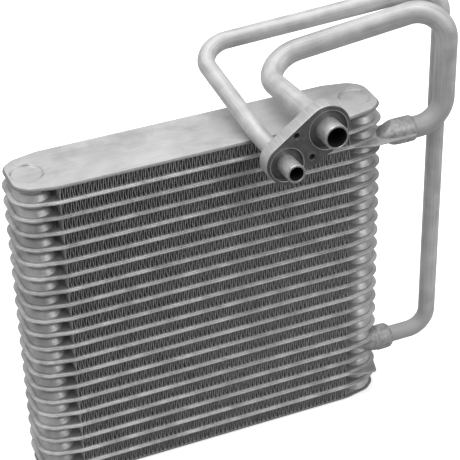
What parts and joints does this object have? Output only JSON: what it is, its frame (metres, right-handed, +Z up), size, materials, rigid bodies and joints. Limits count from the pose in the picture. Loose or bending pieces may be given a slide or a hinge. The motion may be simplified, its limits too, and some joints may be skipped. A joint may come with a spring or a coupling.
{
  "type": "evaporator core",
  "caption": "Laminated aluminium evaporator core of a vehicle air conditioner, with two bent pipes that end in a tilted flange block.",
  "frame": {"origin": "middle of the bottom end plate's underside", "axes": "+Z up the stack of tubes, X along the tubes with the pipes at +X, the block stands in front at -Y"},
  "size_m": [0.3313, 0.1471, 0.3284],
  "materials": {
    "end_plate": "matt, brazed",
    "tube_sheet": "satin, brazed",
    "fin_stock": "dull, thin strip",
    "pipe": "satin, drawn",
    "block": "satin, machined",
    "spigot": "satin, turned"
  },
  "bodies": {
    "root": {"top_end_plate": "end_plate", "bottom_end_plate": "end_plate", "tube_01": "tube_sheet", "tube_02": "tube_sheet", "tube_03": "tube_sheet", "tube_04": "tube_sheet", "tube_05": "tube_sheet", "tube_06": "tube_sheet", "tube_07": "tube_sheet", "tube_08": "tube_sheet", "tube_09": "tube_sheet", "tube_10": "tube_sheet", "tube_11": "tube_sheet", "tube_12": "tube_sheet", "tube_13": "tube_sheet", "tube_14": "tube_sheet", "tube_15": "tube_sheet", "tube_16": "tube_sheet", "tube_17": "tube_sheet", "tube_18": "tube_sheet", "tube_19": "tube_sheet", "tube_20": "tube_sheet", "fin_01": "fin_stock", "fin_02": "fin_stock", "fin_03": "fin_stock", "fin_04": "fin_stock", "fin_05": "fin_stock", "fin_06": "fin_stock", "fin_07": "fin_stock", "fin_08": "fin_stock", "fin_09": "fin_stock", "fin_10": "fin_stock", "fin_11": "fin_stock", "fin_12": "fin_stock", "fin_13": "fin_stock", "fin_14": "fin_stock", "fin_15": "fin_stock", "fin_16": "fin_stock", "fin_17": "fin_stock", "fin_18": "fin_stock", "fin_19": "fin_stock", "fin_20": "fin_stock", "fin_21": "fin_stock", "suction_pipe": "pipe", "liquid_pipe": "pipe", "flange_block": "block", "suction_spigot": "spigot", "liquid_spigot": "spigot", "liquid_ferrule": "spigot"}
  },
  "joints": []
}
